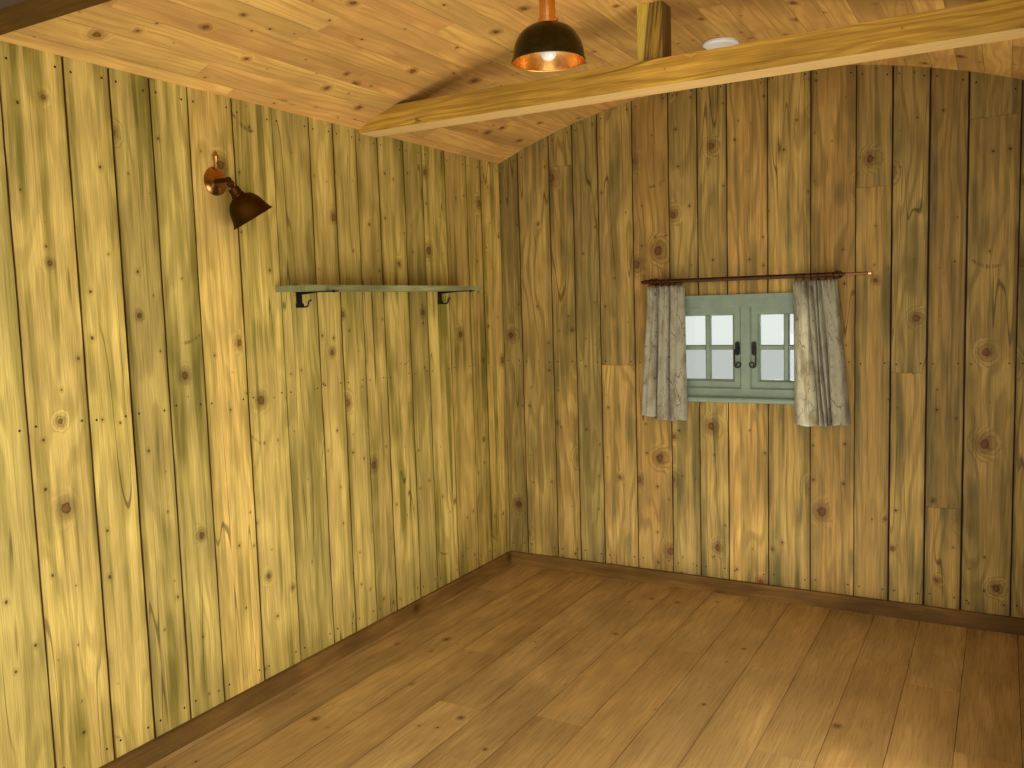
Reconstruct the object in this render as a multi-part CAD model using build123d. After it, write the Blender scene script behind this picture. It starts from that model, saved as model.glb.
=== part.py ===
from build123d import *
import math
import os

os.makedirs("parts", exist_ok=True)

# Frame of the part
# X runs across the hut and is 0 on its centre line, Y runs along it towards the window end,
# and Z is 0 on the ground. All sizes are in millimetres.

# Room sizes
room_width = 2850
built_length = 3100
eaves_height = 2388
crown_height = 2682

# Floor sizes
bearer_width = 100
bearer_height = 100
bearer_offset = 1300
joist_width = 45
joist_depth = 120
joist_pitch = 374
deck_thickness = 20

# Wall and roof layers
lining_thickness = 20
core_thickness = 95
cladding_thickness = 22
cladding_drop = 10
corner_board_width = 95
corner_board_thickness = 18
ceiling_thickness = 18
sheet_depth = 18
sheet_gauge = 1.2
sheet_wave = 76.2
sheet_flat = 15
sheet_clearance = 0.3
eaves_overhang = 38
verge_overhang = 80
fascia_thickness = 22
fascia_drop = 30
sheet_lap = 20

# Room trim
skirting_height = 76
skirting_thickness = 20

# Roof trusses, counted from the open end, with the beam's height a share of the ceiling's rise
truss_count = 2
truss_inset = 83
truss_bay = 1814
tie_beam_width = 120
tie_beam_share = 0.34
tie_beam_drop = 18
king_post_width = 100
king_post_shift = -19

# Window
window_centre = 12
window_width = 868
window_sill_top = 1056
window_head = 1585
frame_jamb = 60
frame_head = 65
frame_rail = 47
mullion_width = 56
frame_proud = 10
frame_chamfer = 6
head_bead_height = 16
head_bead_proud = 7
casement_recess = 12
casement_depth = 45
casement_stile = 42
casement_bevel = 11
glass_thickness = 8
sill_thickness = 29
sill_round = 12
sill_nosing = 38
sill_drip = 55
architrave_width = 60
architrave_thickness = 18

# Window fasteners
fastener_top = 1342
fastener_inset = 14.5
fastener_plate_width = 24
fastener_plate_height = 71
fastener_plate_thickness = 6
fastener_boss_radius = 7
fastener_standoff = 18
fastener_rod = 3.5
fastener_reach = 12
fastener_curl = 15.5
fastener_curl_height = 1225

# Curtain pole and curtains
pole_height = 1665
pole_standoff = 70
pole_radius = 11
pole_left_end = -505
pole_join = 474
thin_pole_radius = 7
pole_right_end = 606
end_cap_length = 19
end_cap_radius = 9
ring_major = 17
ring_minor = 2
ring_sink = 1.5
rings_per_curtain = 6
left_bracket_inset = 40
right_bracket_inset = 10
curtain_depth = 56
curtain_clearance = 0.3
left_curtain_top = (-492, -290)
left_curtain_foot = (-540, -284)
right_curtain_top = (262, 466)
right_curtain_foot = (266, 530)
curtain_foot_height = 928

# Shelf on the left wall
shelf_top = 1671
shelf_thickness = 24
shelf_depth = 160
shelf_near = 1842
shelf_far = 483
shelf_bracket_setbacks = (1710, 660)
bracket_plate_width = 30
bracket_plate_height = 66
bracket_strap = 6
bracket_foot_width = 40
bracket_foot_height = 18
bracket_foot_thickness = 10
bracket_arm = 215
bracket_arm_root = 13
bracket_arm_tip = 5
bracket_arm_width = 16
bracket_knob_radius = 7
bracket_rod = 3.5
bracket_hook_reach = 40
bracket_hook_radius = 13

# Wall lamp, with its axis leaning out from the wall and towards the window
lamp_rose_setback = 2122
lamp_rose_height = 2062
lamp_rose_radius = 53
lamp_rose_thickness = 17
lamp_finial_height = 62
lamp_finial_radius = 10
lamp_joint = (85, 2115, 2031)
lamp_axis = (0.283, 0.441, -0.852)
lamp_length = 130
lamp_holder_length = 35
lamp_holder_top_radius = 20
lamp_holder_radius = 25
lamp_shade_outline = ((24, 95), (52, 77), (68, 43), (76, 16), (85, 0))
lamp_shade_thickness = 1.8
lamp_bulb_radius = 22
lamp_bulb_height = 56
lamp_arm_radius = 8
lamp_elbow_back = 17
lamp_knuckle_radius = 12
lamp_knuckle_width = 20

# Pendant lamp on the centre line
pendant_setback = 2142
pendant_drop = 417
pendant_outline = ((28, 106), (49, 101), (70, 89), (87, 70), (98, 46), (106, 2))
pendant_thickness = 1.8
pendant_bead = 2.2
pendant_cap_radius = 23.5
pendant_cap_flange = 27
pendant_flange_height = 17
pendant_cap_height = 84
pendant_screw_radius = 5.5
pendant_screw_reach = 33
pendant_stem_radius = 5
pendant_rose_radius = 46
pendant_rose_height = 24
pendant_bulb_radius = 25
pendant_bulb_height = 28

# Gap between the ceiling's curve and the rims of the fittings screwed to it
fitting_gap = 0.6

# Alarm disc on the ceiling
alarm_offset = 65
alarm_setback = 600
alarm_radius = 76
alarm_depth = 15

# Derived positions
half_room = room_width / 2
half_core = half_room + lining_thickness
half_frame = half_core + core_thickness
half_wall = half_frame + cladding_thickness
wall_thickness = half_wall - half_room
half_soffit = half_wall + eaves_overhang
half_fascia = half_soffit + fascia_thickness
half_sheet = half_fascia + sheet_lap
total_length = (
    built_length + wall_thickness + verge_overhang + fascia_thickness + sheet_lap
)
near_end = -total_length / 2
window_wall = near_end + built_length
frame_end = window_wall + lining_thickness + core_thickness
outer_face = frame_end + cladding_thickness
verge_face = outer_face + verge_overhang
barge_face = verge_face + fascia_thickness
far_end = barge_face + sheet_lap
deck_underside = bearer_height + joist_depth
floor_top = deck_underside + deck_thickness
ceiling_rise = crown_height - eaves_height
ceiling_radius = (half_room**2 + ceiling_rise**2) / (2 * ceiling_rise)
roof_axis = floor_top + crown_height - ceiling_radius
core_radius = ceiling_radius + ceiling_thickness
sheet_radius = core_radius + core_thickness
top_radius = sheet_radius + sheet_depth
well_above = floor_top + crown_height + 400


# Helpers
def block(x0, x1, y0, y1, z0, z1):
    """A box between two corners."""
    size = Box(x1 - x0, y1 - y0, z1 - z0)
    return Pos((x0 + x1) / 2, (y0 + y1) / 2, (z0 + z1) / 2) * size


def under_arch(shape, radius):
    """The part of a shape that lies under the roof's curve of this radius."""
    length = 2 * total_length
    drum = Pos(0, 0, roof_axis) * Rot(90, 0, 0) * Cylinder(radius, length)
    return shape & drum


def arch_band(inner, outer, half_span, y0, y1):
    """A curved layer of the roof, cut upright at both eaves."""
    ring = Circle(outer) - Circle(inner)
    keep = Pos(0, outer) * Rectangle(2 * half_span, 2 * outer)
    band = extrude(ring & keep, y1 - y0)
    return Pos(0, y1, roof_axis) * Rot(90, 0, 0) * band


def wave_corners(trough, crest, pitch, count, start):
    """Corners of even waves along Y, with a flat on every crest and in every trough."""
    corners = [(0, start, roof_axis + trough)]
    for index in range(count):
        low = start + index * pitch
        corners.append((0, low + sheet_flat / 2, roof_axis + trough))
        corners.append((0, low + (pitch - sheet_flat) / 2, roof_axis + crest))
        corners.append((0, low + (pitch + sheet_flat) / 2, roof_axis + crest))
        corners.append((0, low + pitch - sheet_flat / 2, roof_axis + trough))
    corners.append((0, start + count * pitch, roof_axis + trough))
    return corners


def corrugated_band(inner, outer, half_span, y0, y1):
    """A corrugated sheet bent over the roof, with its waves running from eaves to eaves."""
    count = max(1, round((y1 - y0) / sheet_wave))
    pitch = (y1 - y0) / count
    under = wave_corners(inner, outer - sheet_gauge, pitch, count, y0)
    over = wave_corners(inner + sheet_gauge, outer, pitch, count, y0)
    section = make_face(Polyline(*under, *reversed(over), close=True))
    sweep = math.degrees(math.asin(half_span / outer))
    axis = Axis((0, 0, roof_axis), (0, 1, 0))
    return revolve(section.rotate(axis, -sweep), axis, 2 * sweep)


def seat_height(reach):
    """The height at which a flat rim this far from the centre line meets the ceiling."""
    return roof_axis + math.sqrt(ceiling_radius**2 - reach**2) - fitting_gap


def setback(distance):
    """The Y of a point this far into the room from the window wall."""
    return window_wall - distance


def turned(points):
    """A solid turned about Z from an outline of (radius, height) corners."""
    corners = [(radius, 0, height) for radius, height in points]
    face = make_face(Polyline(*corners, close=True))
    return revolve(face, Axis.Z, 360)


def dished(outline, thickness):
    """An open shade of even thickness, turned about Z under a smooth outline."""
    outer = [(radius, 0, height) for radius, height in outline]
    inner = []
    last = len(outline) - 1
    for index, (radius, height) in enumerate(outline):
        before = outline[max(index - 1, 0)]
        after = outline[min(index + 1, last)]
        run = after[0] - before[0]
        drop = after[1] - before[1]
        length = math.hypot(run, drop)
        inner_radius = radius + thickness * drop / length
        inner_height = height - thickness * run / length
        inner.append((inner_radius, 0, inner_height))
    inner[-1] = (inner[-1][0], 0, outline[-1][1])
    outside = Spline(*outer)
    inside = Spline(*inner)
    rim = Line(outer[-1], inner[-1])
    neck = Line(outer[0], inner[0])
    face = make_face(outside + inside + rim + neck)
    return revolve(face, Axis.Z, 360)


def save(name, shape):
    """One STEP file for one named piece."""
    export_step(shape, f"parts/{name}.step")


# Bearers under the floor
bearers = []
for x in (-bearer_offset, 0, bearer_offset):
    left = x - bearer_width / 2
    right = x + bearer_width / 2
    bearers.append(block(left, right, near_end, frame_end, 0, bearer_height))
save("floor_bearers", Compound(children=bearers))

# Joists across the floor, between a rim board on each side
rim_inner = half_frame - joist_width
joists = []
joist_count = int((frame_end - near_end - joist_width) / joist_pitch) + 1
joist_spread = (frame_end - near_end - joist_width) / (joist_count - 1)
for index in range(joist_count):
    y = near_end + index * joist_spread
    joist = block(
        -rim_inner, rim_inner, y, y + joist_width, bearer_height, deck_underside
    )
    joists.append(joist)
save("floor_joists", Compound(children=joists))
rims = []
for side in (-1, 1):
    low = min(side * rim_inner, side * half_frame)
    high = max(side * rim_inner, side * half_frame)
    rims.append(block(low, high, near_end, frame_end, bearer_height, deck_underside))
save("floor_rims", Compound(children=rims))

# Floor deck
deck = block(-half_frame, half_frame, near_end, frame_end, deck_underside, floor_top)
save("floor_deck", deck)

# Long walls, each of lining, framed core and cladding
cladding_foot = bearer_height - cladding_drop
for side, name in ((-1, "left"), (1, "right")):
    faces = sorted((side * half_room, side * half_core))
    lining = block(faces[0], faces[1], near_end, window_wall, floor_top, well_above)
    save(f"{name}_wall_lining", under_arch(lining, ceiling_radius))
    faces = sorted((side * half_core, side * half_frame))
    core = block(faces[0], faces[1], near_end, frame_end, floor_top, well_above)
    save(f"{name}_wall_core", under_arch(core, ceiling_radius))
    faces = sorted((side * half_frame, side * half_wall))
    cladding = block(
        faces[0], faces[1], near_end, outer_face, cladding_foot, well_above
    )
    save(f"{name}_wall_cladding", under_arch(cladding, ceiling_radius))

# Window wall, cut through for the window
window_left = window_centre - window_width / 2
window_right = window_centre + window_width / 2
hole_foot = floor_top + window_sill_top - sill_thickness
frame_foot = floor_top + window_sill_top
frame_top = floor_top + window_head
hole = block(
    window_left,
    window_right,
    window_wall - 500,
    far_end + 500,
    hole_foot,
    frame_top,
)
end_lining = block(
    -half_core,
    half_core,
    window_wall,
    window_wall + lining_thickness,
    floor_top,
    well_above,
)
save("end_wall_lining", under_arch(end_lining, ceiling_radius) - hole)
end_core = block(
    -half_core,
    half_core,
    window_wall + lining_thickness,
    frame_end,
    floor_top,
    well_above,
)
save("end_wall_core", under_arch(end_core, ceiling_radius) - hole)
end_cladding = block(
    -half_frame, half_frame, frame_end, outer_face, cladding_foot, well_above
)
save("end_wall_cladding", under_arch(end_cladding, ceiling_radius) - hole)

# Corner boards outside the window wall
corner_boards = []
for side in (-1, 1):
    faces = sorted((side * (half_wall - corner_board_width), side * half_wall))
    board = block(
        faces[0],
        faces[1],
        outer_face,
        outer_face + corner_board_thickness,
        cladding_foot,
        well_above,
    )
    corner_boards.append(under_arch(board, ceiling_radius))
save("corner_boards", Compound(children=corner_boards))

# Bow roof of ceiling, framed core and corrugated sheet
ceiling = arch_band(ceiling_radius, core_radius, half_soffit, near_end, verge_face)
save("ceiling_lining", ceiling)
roof_core = arch_band(core_radius, sheet_radius, half_soffit, near_end, verge_face)
save("roof_core", roof_core)
sheet_foot = sheet_radius + sheet_clearance
roof_sheet = corrugated_band(sheet_foot, top_radius, half_sheet, near_end, far_end)
save("roof_sheet", roof_sheet)

# Fascia boards along the eaves
soffit_drop = math.sqrt(ceiling_radius**2 - half_soffit**2)
fascia_foot = roof_axis + soffit_drop - fascia_drop
fascias = []
for side in (-1, 1):
    faces = sorted((side * half_soffit, side * half_fascia))
    board = block(faces[0], faces[1], near_end, verge_face, fascia_foot, well_above)
    fascias.append(under_arch(board, sheet_radius))
save("eaves_fascias", Compound(children=fascias))

# Curved bargeboard over the window end
bargeboard = arch_band(
    ceiling_radius - fascia_drop, sheet_radius, half_fascia, verge_face, barge_face
)
save("bargeboard", bargeboard)

# Skirting boards
skirting_face = window_wall - skirting_thickness
skirting_top = floor_top + skirting_height
end_skirting = block(
    -half_room, half_room, skirting_face, window_wall, floor_top, skirting_top
)
save("end_skirting", end_skirting)
for side, name in ((-1, "left"), (1, "right")):
    faces = sorted((side * half_room, side * (half_room - skirting_thickness)))
    board = block(
        faces[0], faces[1], near_end, skirting_face, floor_top, skirting_top
    )
    save(f"{name}_skirting", board)

# Tie beams and king posts, shaped to the curve of the ceiling
beam_foot = floor_top + eaves_height - tie_beam_drop
beam_top = beam_foot + tie_beam_share * ceiling_rise
for number in range(1, truss_count + 1):
    y = near_end + truss_inset + (truss_count - number) * truss_bay
    beam = block(
        -half_room,
        half_room,
        y - tie_beam_width / 2,
        y + tie_beam_width / 2,
        beam_foot,
        beam_top,
    )
    save(f"tie_beam_{number}", under_arch(beam, ceiling_radius))
    post = block(
        king_post_shift - king_post_width / 2,
        king_post_shift + king_post_width / 2,
        y - king_post_width / 2,
        y + king_post_width / 2,
        beam_top,
        well_above,
    )
    save(f"king_post_{number}", under_arch(post, ceiling_radius))

# Window frame with its mullion
frame_near = window_wall - frame_proud
frame_far = outer_face + frame_proud
lights_foot = frame_foot + frame_rail
lights_top = frame_top - frame_head
light_width = (window_width - 2 * frame_jamb - mullion_width) / 2
left_light = window_left + frame_jamb
right_light = window_centre + mullion_width / 2
frame = block(window_left, window_right, frame_near, frame_far, frame_foot, frame_top)
for start in (left_light, right_light):
    frame -= block(
        start,
        start + light_width,
        frame_near - 50,
        frame_far + 50,
        lights_foot,
        lights_top,
    )
inner_arrises = frame.edges().group_by(Axis.Y)[0].filter_by(
    lambda edge: window_left + 1 < edge.center().X < window_right - 1
    and frame_foot + 1 < edge.center().Z < frame_top - 1
)
frame = chamfer(inner_arrises, frame_chamfer)
head_bead = block(
    window_left,
    window_right,
    frame_near - head_bead_proud,
    frame_near,
    frame_top - head_bead_height,
    frame_top,
)
bead_arris = head_bead.edges().filter_by(Axis.X).group_by(Axis.Y)[0].sort_by(Axis.Z)[0]
save("window_frame", frame + chamfer(bead_arris, head_bead_proud * 0.7))

# Sills inside and outside, both under the frame
sill_joint = frame_end - core_thickness / 2
inner_sill = block(
    window_left,
    window_right,
    window_wall - sill_nosing,
    sill_joint,
    hole_foot,
    frame_foot,
)
nosing = inner_sill.edges().filter_by(Axis.X).group_by(Axis.Y)[0]
inner_sill = fillet(nosing, sill_round)
save("inner_sill", inner_sill)
outer_sill_outline = Polyline(
    (window_left, sill_joint, hole_foot),
    (window_left, sill_joint, frame_foot),
    (window_left, frame_far, frame_foot),
    (window_left, outer_face + sill_drip, frame_foot - 9),
    (window_left, outer_face + sill_drip, hole_foot),
    close=True,
)
outer_sill = extrude(make_face(outer_sill_outline), window_width, dir=(1, 0, 0))
save("outer_sill", outer_sill)

# Architrave round the window outside
architrave = block(
    window_left - architrave_width,
    window_right + architrave_width,
    outer_face,
    outer_face + architrave_thickness,
    hole_foot,
    frame_top + architrave_width,
)
save("outer_architrave", architrave - hole)

# Casements and their glass
casement_near = frame_near + casement_recess
casement_far = casement_near + casement_depth
glass_near = casement_near + (casement_depth - glass_thickness) / 2
for start, name in ((left_light, "left"), (right_light, "right")):
    end = start + light_width
    casement = block(start, end, casement_near, casement_far, lights_foot, lights_top)
    pane = (
        start + casement_stile,
        end - casement_stile,
        glass_near,
        glass_near + glass_thickness,
        lights_foot + casement_stile,
        lights_top - casement_stile,
    )
    daylight = block(
        pane[0], pane[1], casement_near - 50, casement_far + 50, pane[4], pane[5]
    )
    casement -= daylight
    bevels = casement.edges().filter_by(
        lambda edge: start + 1 < edge.center().X < end - 1
        and lights_foot + 1 < edge.center().Z < lights_top - 1
    )
    faces = bevels.group_by(Axis.Y)
    save(f"{name}_casement", chamfer(faces[0] + faces[-1], casement_bevel))
    save(f"{name}_glass", block(*pane))

# Curled iron fastener on the meeting stile of each casement
fastener_height = floor_top + fastener_top
curl_height = floor_top + fastener_curl_height
boss_height = fastener_height - fastener_plate_height / 2
plate_x = window_centre + mullion_width / 2 + fastener_inset
oval = SlotOverall(fastener_plate_height, fastener_plate_width, rotation=90)
plate_seat = Plane(
    origin=(plate_x, casement_near, boss_height), x_dir=(1, 0, 0), z_dir=(0, -1, 0)
)
plate = extrude(plate_seat * oval, fastener_plate_thickness)
rod_plane = casement_near - fastener_standoff
boss_length = fastener_standoff + fastener_rod
boss = Pos(plate_x, casement_near - boss_length / 2, boss_height)
boss = boss * Rot(90, 0, 0) * Cylinder(fastener_boss_radius, boss_length)
middle_curl = 0.72 * fastener_curl
inner_curl = 0.42 * fastener_curl
rod_x = plate_x + fastener_reach
across = rod_x - 2 * fastener_curl
back = across + 2 * middle_curl
tip = back - inner_curl
half_turn = math.cos(math.pi / 4)
rod_top = (plate_x, rod_plane, boss_height)
rod_bend = (rod_x, rod_plane, boss_height - fastener_reach)
tail = ThreePointArc(
    rod_top,
    (
        plate_x + fastener_reach * half_turn,
        rod_plane,
        boss_height - fastener_reach * (1 - half_turn),
    ),
    rod_bend,
)
tail += Line(rod_bend, (rod_x, rod_plane, curl_height))
tail += ThreePointArc(
    (rod_x, rod_plane, curl_height),
    (rod_x - fastener_curl, rod_plane, curl_height - fastener_curl),
    (across, rod_plane, curl_height),
)
tail += ThreePointArc(
    (across, rod_plane, curl_height),
    (across + middle_curl, rod_plane, curl_height + middle_curl),
    (back, rod_plane, curl_height),
)
tail += ThreePointArc(
    (back, rod_plane, curl_height),
    (
        tip + inner_curl * half_turn,
        rod_plane,
        curl_height - inner_curl * half_turn,
    ),
    (tip, rod_plane, curl_height - inner_curl),
)
section = Plane(origin=rod_top, z_dir=(1, 0, 0)) * Circle(fastener_rod)
fastener = plate + boss + sweep(section, path=tail)
save("right_fastener", fastener)
window_axis = Plane(origin=(window_centre, 0, 0), z_dir=(1, 0, 0))
save("left_fastener", mirror(fastener, about=window_axis))

# Telescopic curtain pole with its end caps and rings
pole_y = window_wall - pole_standoff
pole_z = floor_top + pole_height


def tube(start, end, radius):
    """A length of the pole between two places across the wall."""
    place = Pos((start + end) / 2, pole_y, pole_z) * Rot(0, 90, 0)
    return place * Cylinder(radius, end - start)


pole = tube(pole_left_end, pole_join, pole_radius)
pole += tube(pole_join - 20, pole_right_end, thin_pole_radius)
for end, lean in ((pole_left_end, -1), (pole_right_end, 1)):
    cap = turned(
        (
            (0, -2),
            (end_cap_radius * 0.7, -2),
            (end_cap_radius, 1),
            (end_cap_radius, end_cap_length * 0.7),
            (end_cap_radius * 0.6, end_cap_length),
            (0, end_cap_length),
        )
    )
    pole += Pos(end, pole_y, pole_z) * Rot(0, 90 * lean, 0) * cap
ring_centre = pole_z + pole_radius - ring_sink - (ring_major - ring_minor)
ring_foot = ring_centre - ring_major - ring_minor
for span in (left_curtain_top, right_curtain_top):
    gap = (span[1] - span[0] - 30) / (rings_per_curtain - 1)
    for index in range(rings_per_curtain):
        x = span[0] + 15 + index * gap
        ring = Pos(x, pole_y, ring_centre) * Rot(0, 90, 0)
        pole += ring * Torus(ring_major, ring_minor)
save("curtain_pole", pole)

# Pole brackets on the wall
brackets = []
for x in (pole_left_end + left_bracket_inset, pole_join - right_bracket_inset):
    foot = Pos(x, window_wall - 3, pole_z) * Rot(90, 0, 0) * Cylinder(20, 6)
    reach = pole_standoff - pole_radius
    arm = Pos(x, window_wall - reach / 2, pole_z) * Rot(90, 0, 0) * Cylinder(6, reach)
    cradle = Pos(x, pole_y, pole_z) * Rot(0, 90, 0) * Cylinder(pole_radius + 5, 14)
    bore = Pos(x, pole_y, pole_z) * Rot(0, 90, 0) * Cylinder(pole_radius, 40)
    brackets.append(foot + arm + cradle - bore)
save("pole_brackets", Compound(children=brackets))

# Curtains, as closed bodies that hang just under the rings
curtain_top = ring_foot - curtain_clearance
curtain_foot = floor_top + curtain_foot_height
curtains = (
    ("left_curtain", left_curtain_top, left_curtain_foot),
    ("right_curtain", right_curtain_top, right_curtain_foot),
)
for name, top, foot in curtains:
    front = pole_y - curtain_depth / 2
    outline = Polyline(
        (foot[0], front, curtain_foot),
        (foot[1], front, curtain_foot),
        (top[1], front, curtain_top),
        (top[0], front, curtain_top),
        close=True,
    )
    save(name, extrude(make_face(outline), curtain_depth, dir=(0, 1, 0)))

# Shelf and its iron brackets on the left wall
wall_x = -half_room
board_top = floor_top + shelf_top
board_foot = board_top - shelf_thickness
shelf = block(
    wall_x,
    wall_x + shelf_depth,
    setback(shelf_near),
    setback(shelf_far),
    board_foot,
    board_top,
)
save("shelf_board", shelf)
for distance, name in zip(shelf_bracket_setbacks, ("near", "far")):
    y = setback(distance)
    half = bracket_plate_width / 2
    plate_foot = board_foot - bracket_plate_height
    plate = block(
        wall_x, wall_x + bracket_strap, y - half, y + half, plate_foot, board_foot
    )
    half_foot = bracket_foot_width / 2
    plate += block(
        wall_x,
        wall_x + bracket_foot_thickness,
        y - half_foot,
        y + half_foot,
        plate_foot,
        plate_foot + bracket_foot_height,
    )
    arm_end = wall_x + bracket_arm
    arm_outline = Polyline(
        (wall_x, y, board_foot),
        (arm_end, y, board_foot),
        (arm_end, y, board_foot - bracket_arm_tip),
        (wall_x + bracket_arm / 2, y, board_foot - bracket_arm_tip),
        (wall_x, y, board_foot - bracket_arm_root),
        close=True,
    )
    arm = extrude(make_face(arm_outline), bracket_arm_width / 2, both=True)
    knob_x = arm_end - 3 * bracket_knob_radius
    knob = Pos(knob_x, y, board_foot - bracket_arm_tip / 2) * Sphere(bracket_knob_radius)
    hook_foot = plate_foot + bracket_rod
    hook_start = (wall_x + 2, y, hook_foot)
    hook_bend = (wall_x + bracket_hook_reach, y, hook_foot)
    hook_side = (hook_bend[0] + bracket_hook_radius, y, hook_foot + bracket_hook_radius)
    hook_end = (
        hook_side[0] + bracket_hook_radius,
        y,
        hook_side[2] + bracket_hook_radius,
    )
    corner = bracket_hook_radius * half_turn
    hook = Line(hook_start, hook_bend)
    hook += ThreePointArc(
        hook_bend,
        (hook_bend[0] + corner, y, hook_side[2] - corner),
        hook_side,
    )
    hook += ThreePointArc(
        hook_side,
        (hook_end[0] - corner, y, hook_side[2] + corner),
        hook_end,
    )
    section = Plane(origin=hook_start, z_dir=(1, 0, 0)) * Circle(bracket_rod)
    ball = Pos(*hook_end) * Sphere(bracket_rod + 1.5)
    bracket = plate + arm + knob + sweep(section, path=hook) + ball
    save(f"{name}_shelf_bracket", bracket)

# Wall lamp rose with its pointed finial
rose_y = setback(lamp_rose_setback)
rose_z = floor_top + lamp_rose_height
dome = turned(
    (
        (0, 0),
        (lamp_rose_radius, 0),
        (lamp_rose_radius, 4),
        (lamp_rose_radius * 0.8, 9),
        (lamp_rose_radius * 0.4, lamp_rose_thickness - 1),
        (0, lamp_rose_thickness),
    )
)
rose = Pos(wall_x, rose_y, rose_z) * Rot(0, 90, 0) * dome
spike = turned(
    (
        (0, -8),
        (5, -8),
        (4, lamp_finial_height * 0.25),
        (lamp_finial_radius, lamp_finial_height * 0.6),
        (lamp_finial_radius * 0.55, lamp_finial_height * 0.84),
        (0, lamp_finial_height),
    )
)
spike_x = wall_x + lamp_finial_radius + 1
rose += Pos(spike_x, rose_y, rose_z + lamp_rose_radius) * spike
save("wall_lamp_rose", rose)

# Wall lamp arm, holder, shade and bulb, on the leaning axis
joint = (
    wall_x + lamp_joint[0],
    setback(lamp_joint[1]),
    floor_top + lamp_joint[2],
)
axis_length = math.sqrt(sum(part * part for part in lamp_axis))
upward = tuple(-part / axis_length for part in lamp_axis)
rim_centre = tuple(
    joint[index] - lamp_length * upward[index] for index in range(3)
)
lamp_frame = Plane(origin=rim_centre, z_dir=upward).location
arm_start = (wall_x + lamp_rose_thickness, rose_y, rose_z)
elbow = (joint[0] - lamp_elbow_back, rose_y + 4, rose_z)
arm_end = joint
arm = Part()
for start, end in ((arm_start, elbow), (elbow, arm_end)):
    length = math.dist(start, end)
    direction = tuple(end[index] - start[index] for index in range(3))
    rod = extrude(Plane(origin=start, z_dir=direction) * Circle(lamp_arm_radius), length)
    arm += rod
arm += Pos(*elbow) * Sphere(lamp_arm_radius + 3)
knuckle_centre = tuple((elbow[index] + arm_end[index]) / 2 for index in range(3))
knuckle_axis = (upward[1], -upward[0], 0)
knuckle = Plane(origin=knuckle_centre, z_dir=knuckle_axis).location
arm += knuckle * Cylinder(lamp_knuckle_radius, lamp_knuckle_width)
holder_foot = lamp_length - lamp_holder_length
holder = lamp_frame * turned(
    (
        (0, holder_foot),
        (lamp_holder_radius, holder_foot),
        (lamp_holder_radius, holder_foot + 6),
        (lamp_holder_radius - 3, holder_foot + 10),
        (lamp_holder_top_radius, lamp_length),
        (0, lamp_length),
    )
)
arm_body = arm - holder
if len(arm_body.solids()) > 1:
    arm_body = max(arm_body.solids(), key=lambda solid: solid.volume)
save("wall_lamp_arm", arm_body - rose)
save("wall_lamp_holder", holder)
save("wall_lamp_shade", lamp_frame * dished(lamp_shade_outline, lamp_shade_thickness))
bulb = Pos(0, 0, lamp_bulb_height) * Sphere(lamp_bulb_radius)
neck_length = holder_foot - lamp_bulb_height
bulb += Pos(0, 0, lamp_bulb_height + neck_length / 2) * Cylinder(12, neck_length)
save("wall_lamp_bulb", lamp_frame * bulb)

# Pendant lamp on its stem
pendant_y = setback(pendant_setback)
pendant_z = floor_top + crown_height - pendant_drop
pendant_frame = Pos(0, pendant_y, pendant_z)
shade = dished(pendant_outline, pendant_thickness)
rim_radius, rim_height = pendant_outline[-1]
bead = Pos(0, 0, rim_height) * Torus(rim_radius - 0.6, pendant_bead)
save("pendant_shade", pendant_frame * (shade + bead))
neck_height = pendant_outline[0][1]
cap_top = neck_height + pendant_cap_height
cap = turned(
    (
        (0, neck_height),
        (pendant_cap_flange, neck_height),
        (pendant_cap_flange, neck_height + pendant_flange_height - 2),
        (pendant_cap_radius, neck_height + pendant_flange_height),
        (pendant_cap_radius, cap_top - 14),
        (pendant_cap_radius * 0.55, cap_top),
        (0, cap_top),
    )
)
screws = Pos(0, 0, neck_height + pendant_flange_height / 2) * Rot(0, 90, 0)
screws = screws * Cylinder(pendant_screw_radius, 2 * pendant_screw_reach)
save("pendant_cap", pendant_frame * (cap + screws))
rose_foot = seat_height(pendant_rose_radius) - pendant_rose_height
stem_foot = pendant_z + cap_top
stem_length = rose_foot - stem_foot
stem = Pos(0, pendant_y, stem_foot + stem_length / 2)
save("pendant_stem", stem * Cylinder(pendant_stem_radius, stem_length))
ceiling_rose = turned(
    (
        (0, 0),
        (pendant_rose_radius * 0.45, 0),
        (pendant_rose_radius * 0.85, pendant_rose_height * 0.4),
        (pendant_rose_radius, pendant_rose_height * 0.8),
        (pendant_rose_radius, pendant_rose_height),
        (0, pendant_rose_height),
    )
)
save("pendant_rose", Pos(0, pendant_y, rose_foot) * ceiling_rose)
bulb = Pos(0, 0, pendant_bulb_height) * Sphere(pendant_bulb_radius)
neck_length = neck_height - pendant_bulb_height
bulb += Pos(0, 0, pendant_bulb_height + neck_length / 2) * Cylinder(14, neck_length)
save("pendant_bulb", pendant_frame * bulb)

# Alarm disc
alarm = turned(
    (
        (0, 0),
        (alarm_radius * 0.86, 0),
        (alarm_radius, alarm_depth * 0.4),
        (alarm_radius, alarm_depth),
        (0, alarm_depth),
    )
)
alarm_foot = seat_height(alarm_offset + alarm_radius) - alarm_depth
save("ceiling_alarm", Pos(alarm_offset, setback(alarm_setback), alarm_foot) * alarm)
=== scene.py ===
import math
import random

import bmesh
import bpy
from mathutils import Matrix, Vector


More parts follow.
